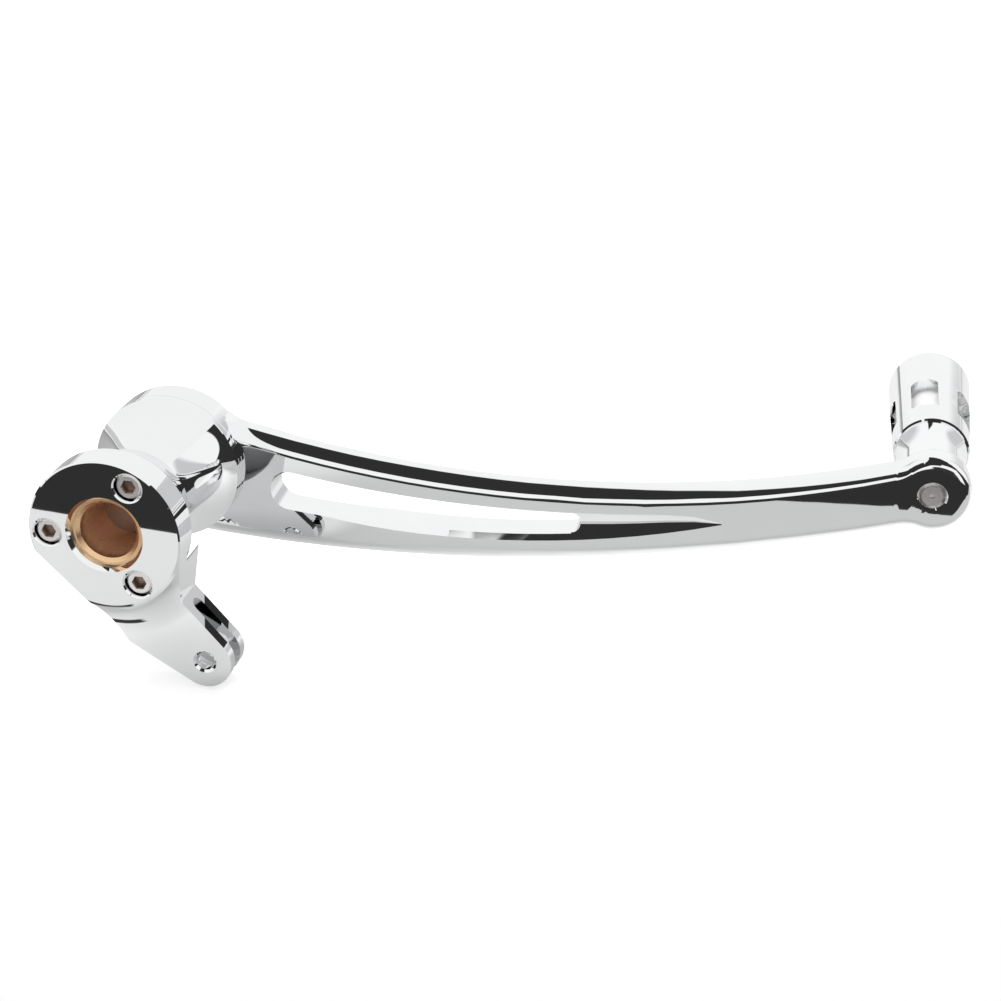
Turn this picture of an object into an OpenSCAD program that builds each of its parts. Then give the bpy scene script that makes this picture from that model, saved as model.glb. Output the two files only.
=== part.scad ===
// Rear brake pedal of a motorcycle: a slotted arm on a waisted pivot barrel, with a fork lever
// for the pull rod at the front end and a windowed toe peg at the tip of the arm.
// The pivot axis is Y, the arm runs along +X, and +Z is up.

/* [Pivot] */
// Diameter of the pivot shaft that the bushes run on
shaft_d = 19.05; // [16:0.05:20]
// Wall of each bronze bush
bush_wall = 2.5; // [1.5:0.1:3]
// Depth of the front bush face below the plate face
bush_recess = 2.6; // [0.5:0.1:4]
// Length of each bush
bush_l = 22; // [14:1:24]
// Outer diameter of the plate, the barrel ends and the arm hub
hub_d = 50.8; // [50:0.2:56]
// Diameter of the barrel at its waist
waist_d = 34; // [32:0.5:38]
// Length of the concave stretch of the barrel
flare_l = 46; // [40:1:60]
// Length of the straight land at the front end of the barrel
land_l = 3; // [2:0.5:6]
// Thickness of the ring between the barrel and the arm
ring_t = 3.5; // [2:0.5:6]
// Diameter of the spigot that centres the barrel in the arm
spigot_d = 33; // [30:0.5:36]
// Length of that spigot inside the arm
spigot_l = 4; // [2:0.5:6]

/* [Fork lever] */
// Thickness of the round plate
plate_t = 8; // [7:0.5:12]
// Distance from the pivot axis to the flat on the lower left of the plate
flat_dist = 22.3; // [21:0.1:25]
// Distance from the pivot axis to the fork pin
pin_dist = 54; // [50:0.5:70]
// Angle of the fork pin below the X axis
pin_angle = 58; // [50:1:65]
// Diameter of the fork pin hole
pin_d = 6.35; // [5:0.05:8]
// Radius of the fork end
fork_r = 9; // [8:0.5:12]
// Depth of the fork face below the plate face
fork_step = 6; // [4:0.5:6.5]
// Radius at which the cove from the plate meets the fork face
cove_r = 37.5; // [33:0.5:40]
// Thickness of each fork ear
ear_t = 4; // [3:0.25:6]
// Gap between the fork ears
fork_gap = 5.5; // [4.5:0.25:8]
// Distance from the fork pin to the round bottom of the gap
fork_reach = 19; // [16:0.5:20]

/* [Plate screws] */
// Radius of the circle of screws
screw_circle_r = 19.2; // [18.8:0.1:19.6]
// Angle of the first screw above the X axis
screw_angle = 61.7; // [50:0.5:70]
// Thread diameter
screw_d = 5; // [4:0.5:5]
// Head diameter
head_d = 8.4; // [7:0.1:8.8]
// Head height
head_h = 4; // [3:0.25:4.5]
// Depth of the head's top below the plate face
head_recess = 1.2; // [0.3:0.1:1.5]
// Width across the flats of the socket
socket_af = 4.4; // [3:0.1:4.5]

/* [Arm] */
// Thickness of the arm
arm_t = 13; // [11:0.5:18]
// Radius of the arm's rounded edges
edge_r = 5; // [3:0.25:5.25]
// Distance from the pivot axis to the peg axis along X
peg_x = 257.9; // [240:0.1:280]
// Height of the peg axis above the pivot axis
peg_z = 8.7; // [4:0.1:14]
// Radius of the eye that carries the peg
eye_r = 12.6; // [11:0.2:15]
// Radius of the eye's rounded edges
eye_edge_r = 3.6; // [2:0.2:4]
// Lowest point of the arm's upper edge, and the radius of that edge
upper_low = [131, 1.2]; // [0:1:200]
upper_r = 440; // [400:10:500]
// Lowest point of the arm's lower edge, and the radius of that edge
lower_low = [72, -28.8]; // [-40:1:100]
lower_r = 620; // [560:10:700]
// Radius of the fillets where the arm meets the hub and the eye
fillet_r = 12; // [8:1:20]

/* [Slot and scoop] */
// Lowest point of the slot's upper edge, and the radius of that edge
slot_upper_low = [126, -7.1]; // [-20:1:150]
slot_upper_r = 497; // [450:1:560]
// Lowest point of the slot's lower edge, and the radius of that edge
slot_lower_low = [101, -19.4]; // [-30:1:150]
slot_lower_r = 334; // [310:1:380]
// Left end of the slot
slot_start = 35.6; // [33:0.2:45]
// Right end of the slot, where the scoop begins
slot_end = 143.5; // [120:0.5:150]
// Point of the scoop
scoop_end = 191; // [170:1:195]
// Corner radius at the right end of the slot
slot_corner_r = 3; // [1:0.25:4]
// Slope of the scoop's two walls
scoop_slope = 0.47; // [0.3:0.01:0.6]

/* [Toe peg] */
// Thread diameter of the stud
stud_d = 7.94; // [6:0.02:9]
// Diameter of the boss that seats on the arm
boss_d = 21; // [18:0.5:23]
// Length of the straight part of the boss
boss_l = 12.5; // [8:0.5:16]
// Diameter and length of the flare at the end of the boss
collar_d = 24; // [23:0.1:25]
collar_l = 11; // [6:0.5:13]
// Diameter of the core inside the sleeve
core_d = 20; // [16:0.5:21]
// Outer diameter of the sleeve at the near end and at the far end
sleeve_near_d = 25.6; // [25:0.1:29]
sleeve_far_d = 29.3; // [28:0.1:33]
// Length of the sleeve
sleeve_l = 66.5; // [60:0.5:80]
// Radius of the sleeve's rounded far end
sleeve_end_r = 3; // [1:0.25:5]
// Number of windows in the sleeve
windows = 5; // [4:1:6]
// Turn of the first window from the top
window_turn = -13.5; // [-30:0.5:30]
// Width of one window
window_w = 9.4; // [6:0.2:11]
// Distance from the sleeve's near end to the windows, and their length
window_start = 13.5; // [10:0.5:20]
window_l = 23.5; // [16:0.5:30]

/* [Clearances] */
// Side clearance round a screw head
head_gap = 0.45; // [0.2:0.05:0.6]
// Clearance between the lever and the barrel's front end
lever_gap = 0.6; // [0.4:0.1:1.2]
// Groove between the peg's collar and its sleeve
peg_groove = 0.4; // [0.3:0.1:1]

/* [Hidden] */
$fn = 64;
THROUGH = 1; // how far a cut runs past the face that it opens
SKIM = 0.01; // how far a countersink runs past its face
RING_STEPS = 6; // facets round one rounded edge of the arm
FILLET_STEPS = 7; // stations along one fillet
ARM_STEPS = 22; // stations along the arm between its fillets
SLOT_STEPS = 14; // stations along the slot
ROUND_STEPS = 16; // facets round the left end of the slot
SCOOP_STEPS = 16; // stations along the scoop
SINK = 0.3; // slope at which the arm sinks into the eye that it merges with

hub_r = hub_d / 2;
waist_r = waist_d / 2;
spigot_r = spigot_d / 2;
shaft_r = shaft_d / 2;
bush_r = shaft_r + bush_wall;
bush_chamfer = 1.2;
mouth_chamfer = 1; // chamfer at the mouth of the plate's bore
mouth_depth = 1.6; // and its depth
edge_break = 0.6; // chamfer on the turned ends

hub_proud = 1; // the hub stands this far in front of the flat face of the arm
stack_l = plate_t + land_l + flare_l + ring_t + hub_proud + arm_t;
plate_face = -stack_l / 2; // the origin is the middle of the pivot bore
barrel_start = plate_face + plate_t;
flare_start = barrel_start + land_l;
flare_end = flare_start + flare_l;
arm_hub_front = flare_end + ring_t;
arm_front = arm_hub_front + hub_proud;
arm_back = arm_front + arm_t;
rear_bush_start = arm_back - bush_recess - bush_l;

fork_face = plate_face + fork_step;
fork_back = fork_face + 2 * ear_t + fork_gap;
fork_dir = [cos(pin_angle), -sin(pin_angle)];
pin_at = pin_dist * fork_dir;
pin_r = pin_d / 2;
left_reach = 15.3; // distance of the fork's left corner from the rim of the plate
left_turn = 27.8; // its angle from the line through the fork pin
right_reach = 7.4; // the same two values for the inside corner on the right
right_turn = -10;
fork_root_left = root_point(left_reach, left_turn);
fork_root_right = root_point(right_reach, right_turn);
fork_length = pin_dist + fork_r;
flat_turn = 225; // direction in which the flat faces
pin_chamfer = 0.8;

head_r = head_d / 2;
head_top = plate_face + head_recess;
head_bottom = head_top + head_h;
head_pocket_r = head_r + head_gap;
pocket_chamfer = 0.5;
socket_share = 0.6; // share of the head's height that the socket takes
socket_depth = head_h * socket_share;
screw_pitch = 120;
screw_reach = 2.5; // the screws end this far behind the barrel's land
screw_hole_spare = 0.8;
screw_end = flare_start + screw_reach;
screw_hole_end = screw_end + screw_hole_spare;

edge_blend = 200; // from here on the edges ease to those of the eye
bite = 0.05; // surfaces that touch a round one along a line run this far into it
upper_bevel = 0.3; // bevels along the upper and the lower edge of the slot
lower_bevel = 2.1;
bevel_run = 35; // length over which those bevels grow
bevel_inset = 0.8; // the cut that makes them starts this far inside the slot
droop_start = 165; // from here on the upper edge droops to the point of the scoop
scoop_droop = 3.2;
droop_run = 25; // distance past the start at which the droop reaches that value

eye_at = [peg_x, peg_z];
stud_r = stud_d / 2;
stud_recess = 0.3;
centre_mark = 0.9; // depth and radius of the lathe centre in the stud's end
countersink = 0.95; // depth and width of the countersink round the stud
countersink_r = stud_r + countersink;
collar_start = arm_back + boss_l;
collar_end = collar_start + collar_l;
sleeve_start = collar_end + peg_groove;
sleeve_end = sleeve_start + sleeve_l;
end_wall = 6; // thickness of the sleeve's closed far end
core_end = sleeve_end - end_wall;
boss_r = boss_d / 2;
collar_r = collar_d / 2;
core_r = core_d / 2;
window_pitch = 360 / windows;
window_corner_r = 3.5;

// Height of an edge that is one large arc, from its lowest point and radius
function arc_z(x, low, r) = low[1] + r - sqrt(r * r - pow(x - low[0], 2));

// Centre of a fillet that touches two circles: each is given by its centre and the distance
// from it to the fillet's centre, and side picks one of the two crossings
function crossing(a, ra, b, rb, side) =
    let (d = norm(b - a), t = (ra * ra - rb * rb + d * d) / (2 * d), u = (b - a) / d)
    a + t * u + side * sqrt(ra * ra - t * t) * [-u[1], u[0]];

// Corner of the fork lever, given from the rim of the plate and from the line to the fork pin
function root_point(reach, turn) =
    (hub_r + reach) * [cos(pin_angle + turn), -sin(pin_angle + turn)];

// Point on a circle, on the way from its centre to another point
function point_toward(c, r, target) = c + r * (target - c) / norm(target - c);

// Point where a line from p touches a circle
function tangent_point(p, c, r, side) =
    let (v = p - c, a = atan2(v[1], v[0]) + side * acos(r / norm(v)))
    c + r * [cos(a), sin(a)];

// Points of an arc from one angle to another
function arc_points(c, r, a0, a1, steps) =
    [for (i = [0:steps]) let (a = a0 + (a1 - a0) * i / steps) c + r * [cos(a), sin(a)]];

// Evenly spaced values, both ends included
function spread(a, b, steps) = [for (i = [0:steps]) a + (b - a) * i / steps];

// Radius of an arc from its half chord and its height
function sagitta_r(half, height) = (half * half + height * height) / (2 * height);

// The arm's upper edge runs from the hub round a fillet, along one large arc and round a
// second fillet on to the eye. Its lower edge is one large arc and one fillet.
upper_centre = upper_low + [0, upper_r];
lower_centre = lower_low + [0, lower_r];
hub_side = hub_r - bite;
eye_side = eye_r - bite;
hub_fillet = crossing([0, 0], hub_side + fillet_r, upper_centre, upper_r - fillet_r, -1);
eye_fillet = crossing(eye_at, eye_side + fillet_r, upper_centre, upper_r - fillet_r, 1);
low_fillet = crossing(eye_at, eye_side + fillet_r, lower_centre, lower_r + fillet_r, 1);
hub_leave = point_toward([0, 0], hub_side, hub_fillet)[0];
upper_start = point_toward(upper_centre, upper_r, hub_fillet)[0];
upper_end = point_toward(upper_centre, upper_r, eye_fillet)[0];
eye_join = point_toward(eye_at, eye_side, eye_fillet)[0];
lower_end = point_toward(lower_centre, lower_r, low_fillet)[0];
low_eye_join = point_toward(eye_at, eye_side, low_fillet)[0];

function upper_z(x) =
    x < hub_leave ? hub_r - edge_r
    : x < upper_start ? hub_fillet[1] - sqrt(pow(fillet_r, 2) - pow(x - hub_fillet[0], 2))
    : x < upper_end ? arc_z(x, upper_low, upper_r)
    : x < eye_join ? eye_fillet[1] - sqrt(pow(fillet_r, 2) - pow(x - eye_fillet[0], 2))
    : eye_at[1] + sqrt(pow(eye_side, 2) - pow(x - eye_at[0], 2)) - SINK * (x - eye_join);
function lower_z(x) =
    x < lower_end ? arc_z(x, lower_low, lower_r)
    : x < low_eye_join ? low_fillet[1] + sqrt(pow(fillet_r, 2) - pow(x - low_fillet[0], 2))
    : eye_at[1] - sqrt(pow(eye_side, 2) - pow(x - eye_at[0], 2)) + SINK * (x - low_eye_join);
function edge_at(x) =
    edge_r + (eye_edge_r - edge_r) * max(0, x - edge_blend) / (peg_x - edge_blend);

// One section across the arm: a rectangle with four rounded corners
function arm_section(x) =
    let (e = edge_at(x), top = upper_z(x), low = lower_z(x),
         corners = [[arm_front + e, top - e, 180], [arm_back - e, top - e, 90],
                    [arm_back - e, low + e, 0], [arm_front + e, low + e, -90]])
    [for (c = corners) for (p = arc_points([c[0], c[1]], e, c[2], c[2] - 90, RING_STEPS))
        [x, p[0], p[1]]];

arm_stations = concat([0], spread(hub_leave, upper_start, FILLET_STEPS),
    [for (i = [1:ARM_STEPS - 1]) upper_start + (upper_end - upper_start) * i / ARM_STEPS],
    spread(upper_end, eye_join, FILLET_STEPS),
    [for (i = [1:FILLET_STEPS]) eye_join + (low_eye_join - eye_join) * i / FILLET_STEPS],
    [peg_x]);

// The slot and the scoop share two edges, and the upper one droops to the scoop's point
function pocket_upper(x) =
    arc_z(x, slot_upper_low, slot_upper_r) - scoop_droop * pow(max(0, x - droop_start) / droop_run, 3);
function pocket_lower(x) = arc_z(x, slot_lower_low, slot_lower_r);
function bevel_at(x) = max(0, min(1, (x - slot_round_x) / bevel_run));
function half_height(x) = (pocket_upper(x) - pocket_lower(x)) / 2;
slot_tilt = atan((slot_upper_low[0] - slot_start) / slot_upper_r);
slot_round_r = half_height(slot_start + half_height(slot_start)) * cos(slot_tilt);
slot_round_x = slot_start + slot_round_r;
function slot_top(x) = pocket_upper(x) - upper_bevel * bevel_at(x);
function slot_bottom(x) = pocket_lower(x) + lower_bevel * bevel_at(x);

// One section of the V that forms the scoop and the bevels of the slot. It starts out narrower
// than the slot, so that the bevels fade in.
function scoop_section(x) =
    let (inset = bevel_inset * (1 - bevel_at(x)), up = pocket_upper(x) - inset,
         low = min(up, pocket_lower(x) + inset), half = (up - low) / 2)
    [[x, arm_front - THROUGH, up + THROUGH / scoop_slope],
     [x, arm_front + scoop_slope * half, (up + low) / 2],
     [x, arm_front - THROUGH, low - THROUGH / scoop_slope]];

// A solid through a row of rings that have the same number of points
module loft(rings) {
    n = len(rings[0]);
    last = len(rings) - 1;
    points = [for (ring = rings) for (p = ring) p];
    sides = [for (i = [0:last - 1]) for (j = [0:n - 1])
        let (a = i * n + j, b = i * n + (j + 1) % n)
        each [[a, b, b + n], [a, b + n, a + n]]];
    polyhedron(points, concat([[for (j = [n - 1:-1:0]) j]], sides,
        [[for (j = [0:n - 1]) last * n + j]]));
}

// A flat outline in X and Z, thickened along Y
module slab(y0, y1) {
    translate([0, y1, 0]) rotate([90, 0, 0]) linear_extrude(y1 - y0) children();
}

// A profile of radius and Y, turned about the pivot axis
module turned() {
    rotate([-90, 0, 0]) rotate_extrude() children();
}

// A straight round bar or hole along Y
module bar(y0, y1, r) {
    translate([0, y0, 0]) rotate([-90, 0, 0]) cylinder(h = y1 - y0, r = r);
}

// A conical countersink along Y
module cone(y0, y1, r0, r1) {
    translate([0, y0, 0]) rotate([-90, 0, 0]) cylinder(h = y1 - y0, r1 = r0, r2 = r1);
}

module at_peg() {
    translate([peg_x, 0, peg_z]) children();
}

module at_screw(i) {
    angle = screw_angle + screw_pitch * i;
    translate([screw_circle_r * cos(angle), 0, screw_circle_r * sin(angle)]) children();
}

// Profile of a round plate with rounded edges
module disc_profile(r, y0, y1, front_r, back_r) {
    translate([0, y0]) square([r - max(front_r, back_r), y1 - y0]);
    translate([0, y0 + front_r]) square([r, y1 - y0 - front_r - back_r]);
    if (front_r > 0) translate([r - front_r, y0 + front_r]) circle(front_r);
    if (back_r > 0) translate([r - back_r, y1 - back_r]) circle(back_r);
}

module slot_outline() {
    stations = spread(slot_round_x, slot_end - slot_corner_r, SLOT_STEPS);
    left = [slot_round_x, (slot_top(slot_round_x) + slot_bottom(slot_round_x)) / 2];
    right = [slot_end - slot_corner_r, slot_top(slot_end) - slot_corner_r];
    low_right = [slot_end - slot_corner_r, slot_bottom(slot_end) + slot_corner_r];
    polygon(concat(
        arc_points(left, slot_round_r, 270 - slot_tilt, 90 - slot_tilt, ROUND_STEPS),
        [for (i = [1:SLOT_STEPS]) [stations[i], slot_top(stations[i])]],
        arc_points(right, slot_corner_r, 90, 0, FILLET_STEPS),
        arc_points(low_right, slot_corner_r, 0, -90, FILLET_STEPS),
        [for (i = [SLOT_STEPS:-1:1]) [stations[i], slot_bottom(stations[i])]]));
}

module brake_arm() {
    color("silver") difference() {
        union() {
            loft([for (x = arm_stations) arm_section(x)]);
            turned() disc_profile(hub_r, arm_hub_front, arm_back, 0, edge_r);
            at_peg() turned() disc_profile(eye_r, arm_front, arm_back, eye_edge_r, eye_edge_r);
        }
        bar(arm_hub_front - THROUGH, arm_back + THROUGH, bush_r);
        bar(arm_hub_front - THROUGH, arm_hub_front + spigot_l, spigot_r);
        cone(arm_back - mouth_depth, arm_back + SKIM, bush_r, bush_r + mouth_chamfer);
        at_peg() {
            bar(arm_front - THROUGH, arm_back + THROUGH, stud_r);
            cone(arm_front - SKIM, arm_front + countersink, countersink_r, stud_r);
        }
        slab(arm_front - THROUGH, arm_back + THROUGH) slot_outline();
        loft([for (x = spread(slot_round_x, scoop_end, SCOOP_STEPS)) scoop_section(x)]);
    }
}

module pivot_barrel() {
    flare_r = sagitta_r(flare_l / 2, hub_r - waist_r);
    color("gainsboro") difference() {
        turned() difference() {
            union() {
                translate([bush_r, barrel_start])
                    square([hub_r - bush_r, flare_end - barrel_start]);
                translate([bush_r, flare_end])
                    square([spigot_r - bush_r, ring_t + spigot_l]);
            }
            translate([waist_r + flare_r, (flare_start + flare_end) / 2]) circle(flare_r);
        }
        for (i = [0:2])
            at_screw(i) bar(barrel_start - THROUGH, screw_hole_end, screw_d / 2);
    }
}

module hub_ring() {
    color("lightgray") turned() polygon([
        [spigot_r, flare_end], [hub_r - edge_break, flare_end],
        [hub_r, flare_end + edge_break], [hub_r, arm_hub_front - edge_break],
        [hub_r - edge_break, arm_hub_front], [spigot_r, arm_hub_front]]);
}

module lever_outline() {
    flat_dir = [cos(flat_turn), sin(flat_turn)];
    flat_half = sqrt(hub_r * hub_r - flat_dist * flat_dist) + bite;
    flat_end = flat_dist * flat_dir + flat_half * [-flat_dir[1], flat_dir[0]];
    difference() {
        circle(hub_r);
        rotate(flat_turn) translate([flat_dist, -hub_r]) square([hub_r, hub_d]);
    }
    polygon([[0, 0], flat_dist * flat_dir, flat_end, fork_root_left,
        tangent_point(fork_root_left, pin_at, fork_r, 1),
        pin_at,
        tangent_point(fork_root_right, pin_at, fork_r, -1),
        fork_root_right, tangent_point(fork_root_right, [0, 0], hub_r - bite, 1)]);
    translate(pin_at) circle(fork_r);
}

module clevis_lever() {
    cove = sagitta_r(cove_r - hub_r, fork_step);
    gap_start = fork_face + ear_t;
    color("white") difference() {
        intersection() {
            slab(plate_face, fork_back) lever_outline();
            turned() difference() {
                translate([0, plate_face])
                    square([fork_length + THROUGH, fork_back - plate_face]);
                translate([cove_r, fork_face - cove]) circle(cove);
                translate([cove_r, plate_face - THROUGH])
                    square([fork_length, fork_step + THROUGH]);
                polygon([[hub_r - edge_break, plate_face], [hub_r, plate_face - THROUGH],
                    [hub_r + edge_break, plate_face - THROUGH],
                    [hub_r + edge_break, plate_face + edge_break]]);
            }
        }
        bar(barrel_start, fork_back + THROUGH, hub_r + lever_gap);
        bar(plate_face - THROUGH, barrel_start + THROUGH, bush_r);
        cone(plate_face - SKIM, plate_face + mouth_depth, bush_r + mouth_chamfer, bush_r);
        for (i = [0:2]) at_screw(i) {
            bar(plate_face - THROUGH, head_bottom, head_pocket_r);
            cone(plate_face - SKIM, plate_face + pocket_chamfer,
                head_pocket_r + pocket_chamfer, head_pocket_r);
            bar(plate_face, barrel_start + THROUGH, screw_d / 2);
        }
        translate([pin_at[0], 0, pin_at[1]]) {
            bar(fork_face - THROUGH, fork_back + THROUGH, pin_r);
            cone(fork_face - SKIM, fork_face + pin_chamfer, pin_r + pin_chamfer, pin_r);
            cone(fork_back - pin_chamfer, fork_back + SKIM, pin_r, pin_r + pin_chamfer);
        }
        rotate([0, pin_angle, 0]) translate([pin_dist - fork_reach, gap_start, 0]) {
            translate([fork_gap / 2, 0, -hub_d]) cube([hub_d, fork_gap, 2 * hub_d]);
            translate([fork_gap / 2, fork_gap / 2, -hub_d])
                cylinder(h = 2 * hub_d, r = fork_gap / 2);
        }
    }
}

module bush(y0) {
    color("peru") turned() polygon([
        [shaft_r, y0 + bush_chamfer], [shaft_r + bush_chamfer, y0],
        [bush_r, y0], [bush_r, y0 + bush_l],
        [shaft_r + bush_chamfer, y0 + bush_l], [shaft_r, y0 + bush_l - bush_chamfer]]);
}

module plate_screw(i) {
    color("darkgray") at_screw(i) difference() {
        union() {
            turned() polygon([
                [0, head_top], [head_r - edge_break, head_top],
                [head_r, head_top + edge_break], [head_r, head_bottom], [0, head_bottom]]);
            bar(head_bottom - bite, screw_end, screw_d / 2);
        }
        translate([0, head_top - THROUGH, 0]) rotate([-90, 0, 0])
            cylinder(h = socket_depth + THROUGH, d = socket_af / cos(30), $fn = 6);
    }
}

module toe_spindle() {
    flare = collar_r - boss_r;
    flare_arc = sagitta_r(collar_l, flare);
    stud_face = arm_front + stud_recess;
    color("gray") at_peg() turned() {
        polygon([
            [0, stud_face + centre_mark], [centre_mark, stud_face],
            [stud_r - edge_break, stud_face], [stud_r, stud_face + edge_break],
            [stud_r, arm_back], [0, arm_back]]);
        translate([0, arm_back]) square([boss_r, boss_l]);
        difference() {
            polygon([
                [0, collar_start], [collar_r, collar_start],
                [collar_r, collar_end - edge_break], [collar_r - edge_break, collar_end],
                [0, collar_end]]);
            translate([boss_r + flare_arc, collar_start]) circle(flare_arc);
        }
        translate([0, collar_end]) square([core_r, core_end - collar_end]);
    }
}

module window_outline() {
    half = window_w / 2;
    translate([-half, 0]) square([2 * half, window_l - window_corner_r]);
    translate([window_corner_r - half, 0])
        square([2 * (half - window_corner_r), window_l]);
    for (side = [-1, 1])
        translate([side * (half - window_corner_r), window_l - window_corner_r])
            circle(window_corner_r);
}

module toe_sleeve() {
    near_r = sleeve_near_d / 2;
    far_r = sleeve_far_d / 2;
    color("whitesmoke") at_peg() difference() {
        turned() {
            polygon(concat(
                [[core_r, sleeve_start], [near_r - edge_break, sleeve_start],
                 [near_r, sleeve_start + edge_break]],
                arc_points([far_r - sleeve_end_r, sleeve_end - sleeve_end_r],
                    sleeve_end_r, 0, 90, FILLET_STEPS),
                [[0, sleeve_end], [0, core_end], [core_r, core_end]]));
        }
        for (i = [0:windows - 1]) rotate([0, window_turn + i * window_pitch, 0])
            translate([0, sleeve_start + window_start, 0])
                linear_extrude(sleeve_far_d) window_outline();
    }
}

brake_arm();
pivot_barrel();
hub_ring();
clevis_lever();
bush(plate_face + bush_recess);  // front_bush
bush(rear_bush_start);  // rear_bush
plate_screw(0);  // plate_screw_1
plate_screw(1);  // plate_screw_2
plate_screw(2);  // plate_screw_3
toe_spindle();
toe_sleeve();
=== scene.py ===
import math

import bmesh
import bpy
from mathutils import Euler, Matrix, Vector


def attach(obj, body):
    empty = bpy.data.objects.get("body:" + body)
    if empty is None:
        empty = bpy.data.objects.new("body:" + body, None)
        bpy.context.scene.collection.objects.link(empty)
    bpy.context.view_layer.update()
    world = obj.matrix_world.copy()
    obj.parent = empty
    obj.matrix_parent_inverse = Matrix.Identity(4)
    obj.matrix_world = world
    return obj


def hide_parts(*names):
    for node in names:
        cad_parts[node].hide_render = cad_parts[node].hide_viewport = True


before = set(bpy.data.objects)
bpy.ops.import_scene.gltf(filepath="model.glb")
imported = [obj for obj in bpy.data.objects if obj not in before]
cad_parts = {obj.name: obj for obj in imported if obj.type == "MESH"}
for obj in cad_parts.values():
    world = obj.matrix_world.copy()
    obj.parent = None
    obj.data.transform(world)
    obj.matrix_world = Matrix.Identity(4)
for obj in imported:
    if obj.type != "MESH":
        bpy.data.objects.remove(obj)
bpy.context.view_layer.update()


# The waisted pivot barrel and the thin ring behind it are turned from bar, polished and
# chrome plated. The plating mirrors the studio, with a faint haze and the slight waves that
# polishing leaves. The bore inside the barrel isn't plated and has browned with oil.
class Wire:
    """One socket of a node tree. Python operators on it add Math nodes."""

    def __init__(self, tree, socket=None):
        self.tree, self.socket = tree, socket

    def node(self, kind, settings=None, sockets=None, out=0):
        made = self.tree.nodes.new("ShaderNode" + kind)
        for name, value in (settings or {}).items():
            setattr(made, name, value)
        for name, value in (sockets or {}).items():
            if isinstance(value, Wire):
                self.tree.links.new(value.socket, made.inputs[name])
            else:
                made.inputs[name].default_value = value
        return Wire(self.tree, made.outputs[out])

    def maths(self, operation, other):
        return self.node("Math", {"operation": operation}, {0: self, 1: other})

    def blend(self, low, high):
        return self.node("Mix", {"data_type": "RGBA"}, {0: self, 6: low, 7: high}, 2)

    def step(self, low, high):
        ranges = {"Value": self, "From Min": low, "From Max": high}
        return self.node("MapRange", {"interpolation_type": "SMOOTHSTEP"}, ranges)

    def axis(self, name):
        return self.node("SeparateXYZ", {}, {0: self}, name)

    def noise(self, scale, detail=2.0):
        return self.node("TexNoise", {}, {"Vector": self, "Scale": scale, "Detail": detail})

    def lines(self, scale, detail=2.0):
        sockets = {"W": self * scale, "Detail": detail}
        return self.node("TexNoise", {"noise_dimensions": "1D"}, sockets)

    def relief(self, strength, distance):
        sockets = {"Strength": strength, "Distance": distance, "Height": self}
        return self.node("Bump", {}, sockets)

    def finish(self, kind="OutputMaterial"):
        output = self.tree.nodes.new("ShaderNode" + kind)
        self.tree.links.new(self.socket, output.inputs["Surface"])

    def __add__(self, other):
        return self.maths("ADD", other)

    def __sub__(self, other):
        return self.maths("SUBTRACT", other)

    def __rsub__(self, other):
        return self * -1 + other

    def __mul__(self, other):
        return self.maths("MULTIPLY", other)

    def __pow__(self, other):
        return self.maths("POWER", other)

    __radd__, __rmul__ = __add__, __mul__


def new_material(name):
    material = bpy.data.materials.new(name)
    material.use_nodes = True
    material.node_tree.nodes.clear()
    wires = Wire(material.node_tree)
    return material, wires, wires.node("TexCoord", out="Object")


def finish_material(wires, **surface):
    sockets = {name.replace("_", " "): value for name, value in surface.items()}
    wires.node("BsdfPrincipled", {}, sockets).finish()


PALE, DULL = (0.925, 0.93, 0.935, 1.0), (0.875, 0.88, 0.885, 1.0)
OILED = (0.30, 0.19, 0.13, 1.0)
BORE_RADIUS, PLATING_EDGE = 0.0123, 0.0001


# Within a given radius of the Y axis and past a given Y, the chrome gives way to another
# colour: the barrel's oiled bore, and the painted shade in the lever's hollow.
def chrome(name, bare_and_shade_radius=0.0, bare_and_shade_from=-1.0, bare_and_shade_colour=OILED, bare_and_shade_metal=1.0):
    material, wires, place = new_material(name)
    film, grain, waves = place.noise(45.0, 3.0), place.noise(2600.0), place.noise(70.0, 1.0)
    radius = (place.axis("X") ** 2.0 + place.axis("Z") ** 2.0) ** 0.5
    bare_and_shaded = (1 - radius.step(bare_and_shade_radius, bare_and_shade_radius + PLATING_EDGE)) * \
        place.axis("Y").maths("GREATER_THAN", bare_and_shade_from)
    tint = bare_and_shaded.blend(film.blend(DULL, PALE), bare_and_shade_colour)
    haze = film * 0.012 + grain * 0.006 + 0.012
    finish_material(wires, Base_Color=tint, Metallic=1 - bare_and_shaded * (1 - bare_and_shade_metal),
                    Roughness=haze + bare_and_shaded * 0.4,
                    Normal=(waves + grain * 0.01).relief(0.05, 0.00015))
    return material


def wear(node, material):
    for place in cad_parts[node].material_slots:
        place.material = material


polished = chrome("polished_chrome")
wear("pivot_barrel", chrome("barrel_chrome", BORE_RADIUS))
wear("hub_ring", polished)


# The front plate and the fork for the pull rod are one piece, milled from plate and chrome
# plated. It is bolted to the barrel's front end, and the hollow that passes under the barrel
# carries painted shade: a dull dark grey in place of chrome.
HOLLOW_RADIUS, HOLLOW_FRONT = 0.0262, -0.0291
HOLLOW_SHADE_GREY = (0.42, 0.42, 0.43, 1.0)

wear("clevis_lever", chrome("lever_chrome", HOLLOW_RADIUS, HOLLOW_FRONT, HOLLOW_SHADE_GREY, bare_and_shade_metal=0.1))


# The arm is one forging with a long curved slot and a scoop, polished all over and plated.
# The CAD solid is made of narrow facets, so its skin is welded here and given the smooth
# shading of a polished surface.
WELD_REACH, SHORTEST_EDGE = 2e-6, 1e-6
CREASE = math.radians(24)


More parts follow.
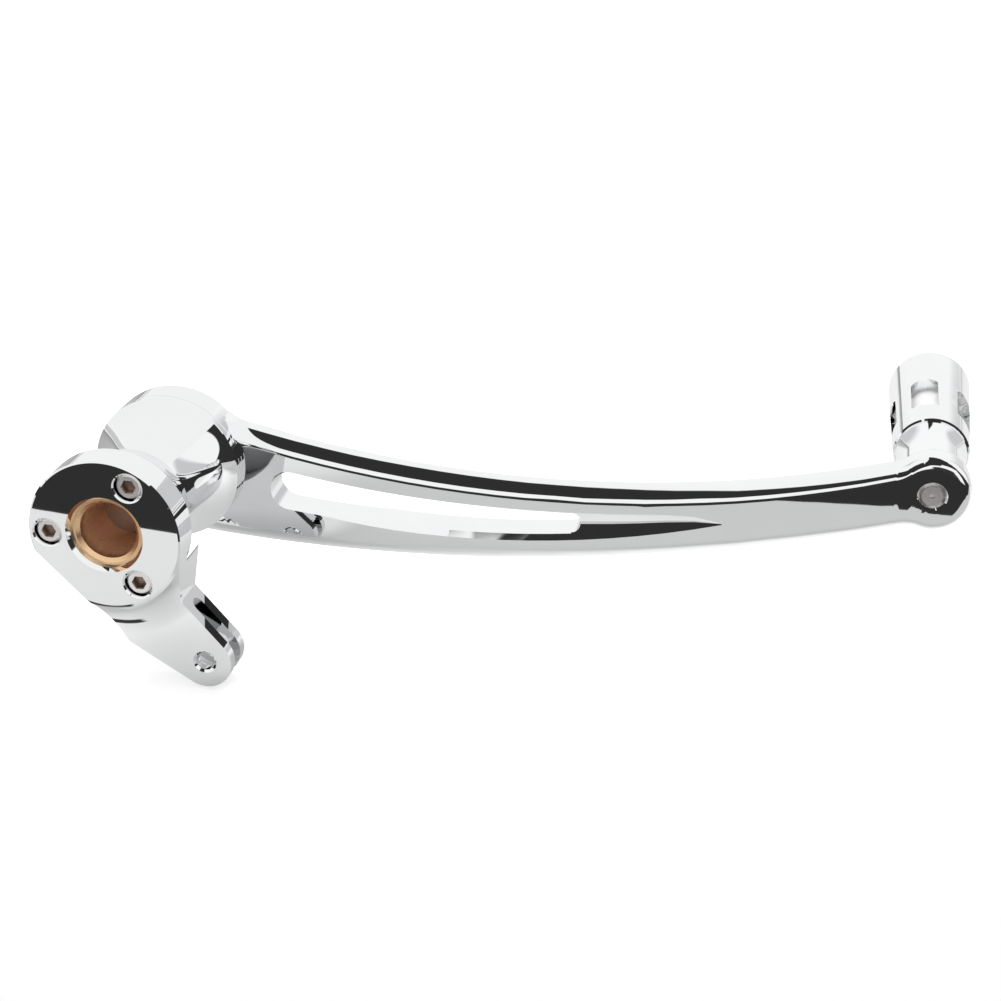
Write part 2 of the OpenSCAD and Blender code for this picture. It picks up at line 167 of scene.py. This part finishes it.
def smooth_skin(node, name, crease):
    skin = bmesh.new()
    skin.from_mesh(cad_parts[node].data)
    bmesh.ops.remove_doubles(skin, verts=skin.verts, dist=WELD_REACH)
    bmesh.ops.dissolve_degenerate(skin, edges=skin.edges, dist=SHORTEST_EDGE)
    for edge in skin.edges:
        edge.smooth = len(edge.link_faces) == 2 and edge.calc_face_angle(0) < crease
    for face in skin.faces:
        face.smooth = True
    mesh = bpy.data.meshes.new(name)
    skin.to_mesh(mesh)
    skin.free()
    piece = bpy.data.objects.new(name, mesh)
    bpy.context.scene.collection.objects.link(piece)
    even = piece.modifiers.new("even_shading", "WEIGHTED_NORMAL")
    even.mode, even.weight, even.keep_sharp = "FACE_AREA", 90, True
    return piece


arm = smooth_skin("brake_arm", "polished_arm", CREASE)
arm.data.materials.append(polished)
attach(arm, "root")
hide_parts("brake_arm")


# The two bushes are turned from bronze, bored for the shaft and pressed in. The tool leaves
# fine rings along the bore, and the oiled metal browns towards the inside.
PLATE_FACE = -0.03725
BRIGHT_TO, BROWN_FROM = 0.0036, 0.0085


def bronze():
    material, wires, place = new_material("bored_bronze")
    along = place.axis("Y")
    rings, cloud = along.lines(9000.0), place.noise(120.0, 4.0)
    bright, brown = (0.88, 0.60, 0.36, 1.0), (0.88, 0.52, 0.31, 1.0)
    inside = (along - PLATE_FACE).step(BRIGHT_TO, BROWN_FROM)
    finish_material(wires, Base_Color=(inside * 0.7 + cloud * 0.3).blend(bright, brown),
                    Metallic=1 - inside * 0.6, Roughness=cloud * 0.12 + 0.22,
                    Normal=rings.relief(0.35, 0.00002))
    return material


bore_bronze = bronze()
for node in ("front_bush", "rear_bush"):
    wear(node, bore_bronze)


# Three socket head screws hold the plate. They are stainless, with a turned crown and a
# broached hexagon, painted dark brown deeper in: brown grease and painted shade of the socket.
GREASE_AND_SHADE_FROM, GREASE_AND_SHADE_FULL = 0.0020, 0.0032


def screw_steel():
    material, wires, place = new_material("turned_steel")
    cloud = place.noise(900.0, 4.0)
    steel, grease_and_shade = (0.98, 0.96, 0.94, 1.0), (0.20, 0.11, 0.06, 1.0)
    depth = place.axis("Y") - PLATE_FACE + cloud * 0.0008
    # Deeper in the hexagon the steel is painted dark brown, grease together with painted shade.
    sunk = depth.step(GREASE_AND_SHADE_FROM, GREASE_AND_SHADE_FULL)
    finish_material(wires, Base_Color=(sunk * 0.85).blend(steel, grease_and_shade), Metallic=1.0,
                    Roughness=cloud * 0.16 + 0.26, Normal=cloud.relief(0.25, 0.00003))
    return material


stainless = screw_steel()
for node in ("plate_screw_1", "plate_screw_2", "plate_screw_3"):
    wear(node, stainless)


# The toe peg is a plated sleeve with windows over a satin core. Its stud comes through the
# arm's eye, and its end face shows the marks of facing off.
PEG_X, PEG_Z = 0.2579, 0.0087
STUD_END, CORE_START = (0.0250, 0.0256), (0.0608, 0.0612)
FACED, SATIN_WHITE = (0.86, 0.83, 0.81, 1.0), (0.98, 0.98, 0.98, 1.0)


def peg_chrome():
    material, wires, place = new_material("peg_chrome")
    across, up = place.axis("X") - PEG_X, place.axis("Z") - PEG_Z
    radius = (across ** 2.0 + up ** 2.0) ** 0.5
    end = 1 - place.axis("Y").step(*STUD_END)
    core = place.axis("Y").step(*CORE_START)
    rings, grain = radius.lines(16000.0, 1.0), place.noise(1500.0, 3.0)
    shell = core.blend(PALE, SATIN_WHITE)
    finish_material(wires, Base_Color=end.blend(shell, FACED),
                    Metallic=1 - core * 0.95,
                    Roughness=end * 0.3 + core * 0.5 + grain * 0.02 + 0.015,
                    Normal=((rings + grain) * end).relief(0.5, 0.00003))
    return material


wear("toe_spindle", peg_chrome())
wear("toe_sleeve", polished)


# The studio is a sheet of white paper that ends 12 cm in front of the pedal, and a small white
# sheet over the hub, which only mirrors show. Mirrored, the paper carries painted light and
# shade: grey, palest before the fork and behind the arm, with one thin strip of painted shadow.
HEADING = math.radians(11.08)
FLOOR, HUB_SHEET_HEIGHT = -0.0562, 0.030
PAPER_FRONT, PAPER_BACK, PAPER_SIDE = -0.160, 5, 4
WHITE, BLACK = (1.0, 1.0, 1.0, 1.0), (0.0, 0.0, 0.0, 1.0)
PAPER = (0.8, 0.8, 0.8, 1.0)


def studio_point(right, ahead, height):
    return Vector((right * math.cos(HEADING) - ahead * math.sin(HEADING),
                   right * math.sin(HEADING) + ahead * math.cos(HEADING), height))


def sheet_of(name, height, corners, material):
    mesh = bpy.data.meshes.new(name)
    points = [studio_point(right, ahead, height) for right, ahead in corners]
    mesh.from_pydata(points, [], [tuple(range(len(points)))])
    mesh.materials.append(material)
    sheet = bpy.data.objects.new(name, mesh)
    bpy.context.scene.collection.objects.link(sheet)
    return sheet


def paper():
    material, wires, place = new_material("floor_paper")
    ahead = place.axis("Y") * math.cos(HEADING) - place.axis("X") * math.sin(HEADING)
    right = place.axis("Y") * math.sin(HEADING) + place.axis("X") * math.cos(HEADING)
    # The painted light and shade that mirrors show goes by metres ahead and to the right
    # of the pivot, as the camera faces.
    across_shadow_strip = ahead + right * 0.44
    # A thin strip of painted shadow on the paper, seen only in mirrors.
    painted_shadow_strip = across_shadow_strip.step(-0.0530, -0.0515) * (1 - across_shadow_strip.step(-0.0477, -0.0462)) * \
        right.step(-0.048, -0.044) * (1 - right.step(-0.009, -0.006))
    from_fork = ((ahead + 0.06) ** 2.0 + (right + 0.005) ** 2.0) ** 0.5
    # Painted shade greys the paper near the pedal, and painted light brightens it before the
    # fork.
    front = 0.69 - right.step(-0.03, 0.02) * 0.18 + (1 - from_fork.step(0.025, 0.04)) * 0.2
    rear = right.step(0.03, 0.16) * 0.30 + 0.52
    mirror_light_and_shade = (front + (rear - front) * ahead.step(-0.045, -0.015)) * (1 - painted_shadow_strip * 0.95) - \
        ahead.step(0.06, 0.14) * 0.16
    lit = wires.node("BsdfDiffuse", {}, {"Color": PAPER})
    glow = wires.node("Emission", {}, {"Color": WHITE, "Strength": 0.55})
    shown = wires.node("AddShader", {}, {0: lit, 1: glow})
    shade = mirror_light_and_shade.blend(BLACK, PAPER)
    dimmed = wires.node("BsdfDiffuse", {}, {"Color": shade})
    faint = wires.node("Emission", {}, {"Color": WHITE, "Strength": mirror_light_and_shade * 0.42})
    mirrored = wires.node("AddShader", {}, {0: dimmed, 1: faint})
    glossy = wires.node("LightPath", out="Is Glossy Ray")
    camera = wires.node("LightPath", out="Is Camera Ray")
    rest = wires.node("MixShader", {}, {0: glossy, 1: lit, 2: mirrored})
    wires.node("MixShader", {}, {0: camera, 1: rest, 2: shown}).finish()
    return material


def white_sheet():
    material, wires, place = new_material("white_sheet")
    strength = place.noise(3.0) * 0.1 + 0.92
    wires.node("Emission", {}, {"Color": WHITE, "Strength": strength}).finish()
    return material


left_front = PAPER_FRONT + 0.009
paper_outline = [(-PAPER_SIDE, left_front), (-0.07, left_front), (0.15, PAPER_FRONT),
                 (PAPER_SIDE, PAPER_FRONT), (PAPER_SIDE, PAPER_BACK), (-PAPER_SIDE, PAPER_BACK)]
sheet_of("paper_floor", FLOOR, paper_outline, paper())
hub_sheet_outline = [(-0.3, -0.08), (0.034, -0.08), (0.034, 0.12), (-0.3, 0.12)]
over_hub = sheet_of("sheet_over_hub", HUB_SHEET_HEIGHT, hub_sheet_outline, white_sheet())
over_hub.visible_camera = over_hub.visible_diffuse = False
over_hub.visible_transmission = over_hub.visible_shadow = False


# The world is white to the camera and a plain even light to everything that is not a mirror.
# In a mirror it is the room: white, with grey back corners, and dark low in front and overhead.
# The dark part overhead starts lower on the left and reaches furthest back in the middle.
ROOM_DARK, ROOM_GREY = (0.03, 0.03, 0.03, 1.0), (0.62, 0.62, 0.63, 1.0)

world = bpy.data.worlds.new("studio_room")
bpy.context.scene.world = world
world.use_nodes = True
world.node_tree.nodes.clear()
room = Wire(world.node_tree)
toward = room.node("TexCoord", out="Generated")
east, north, up = (toward.axis(name) for name in "XYZ")
ahead = north * math.cos(HEADING) - east * math.sin(HEADING)
right = east * math.cos(HEADING) + north * math.sin(HEADING)
# The tilt is in degrees: 0 is level in front, 90 is overhead and 180 is level behind.
tilt = up.maths("ARCTAN2", ahead * -1) * (180 / math.pi)
front_limit = (right * 73 + 54).maths("MINIMUM", 36).maths("MAXIMUM", 14) + \
    right.step(0.02, 0.12) * 12 - right.step(0.66, 0.76) * 60
back_limit = (right * 180 + 137).maths("MINIMUM", 146 - right * 110).maths(
    "MAXIMUM", (1 - right.step(-0.46, -0.40)) * 82)
overhead = tilt.step(front_limit - 1, front_limit + 1) * \
    (1 - tilt.step(back_limit - 2, back_limit + 2))
below = tilt.maths("GREATER_THAN", -90) * (1 - tilt.step(-0.6, 0))
low_front = tilt.step(-0.6, 0) * (1 - tilt.step(20, 23)) * right.step(-0.22, -0.16) * \
    (1 - right.step(0.33, 0.4))
corners = tilt.step(135, 150) * (1 - right.step(-0.4, -0.15) + right.step(0.45, 0.6))
walls = corners.blend(WHITE, ROOM_GREY)
dark = overhead.maths("MAXIMUM", below).maths("MAXIMUM", low_front)
seen_in_mirror = dark.blend(walls, ROOM_DARK)
glossy = room.node("LightPath", out="Is Glossy Ray")
camera_ray = room.node("LightPath", out="Is Camera Ray")
strength = camera_ray.maths("MAXIMUM", glossy) * 0.3 + 0.7
sky = {"Color": glossy.blend(WHITE, seen_in_mirror), "Strength": strength}
room.node("Background", {}, sky).finish("OutputWorld")


# One large soft lamp hangs behind and above the pedal, and gives it its faint shadow. The
# camera stands in front of the plate and above it, and looks a little to the left.
lamp_data = bpy.data.lights.new("soft_lamp", "AREA")
lamp_data.shape, lamp_data.size, lamp_data.size_y, lamp_data.energy = "RECTANGLE", 1.2, 0.8, 9.0
lamp = bpy.data.objects.new("soft_lamp", lamp_data)
lamp.location = studio_point(0.15, 0.7, 1.0)
toward_pedal = studio_point(0.12, 0.0, 0.0) - lamp.location
lamp.rotation_euler = toward_pedal.to_track_quat("-Z", "Y").to_euler()
lamp.visible_glossy = False
bpy.context.scene.collection.objects.link(lamp)

camera_data = bpy.data.cameras.new("camera")
camera_data.sensor_width = 36.0
camera_data.lens = 68.07
camera_data.clip_start = 0.01
camera = bpy.data.objects.new("camera", camera_data)
camera.location = (0.22889, -0.54985, 0.25068)
camera.rotation_euler = Euler((math.radians(66.44), 0.0, HEADING))
bpy.context.scene.collection.objects.link(camera)
bpy.context.scene.camera = camera
bpy.context.scene.view_settings.view_transform = "Standard"
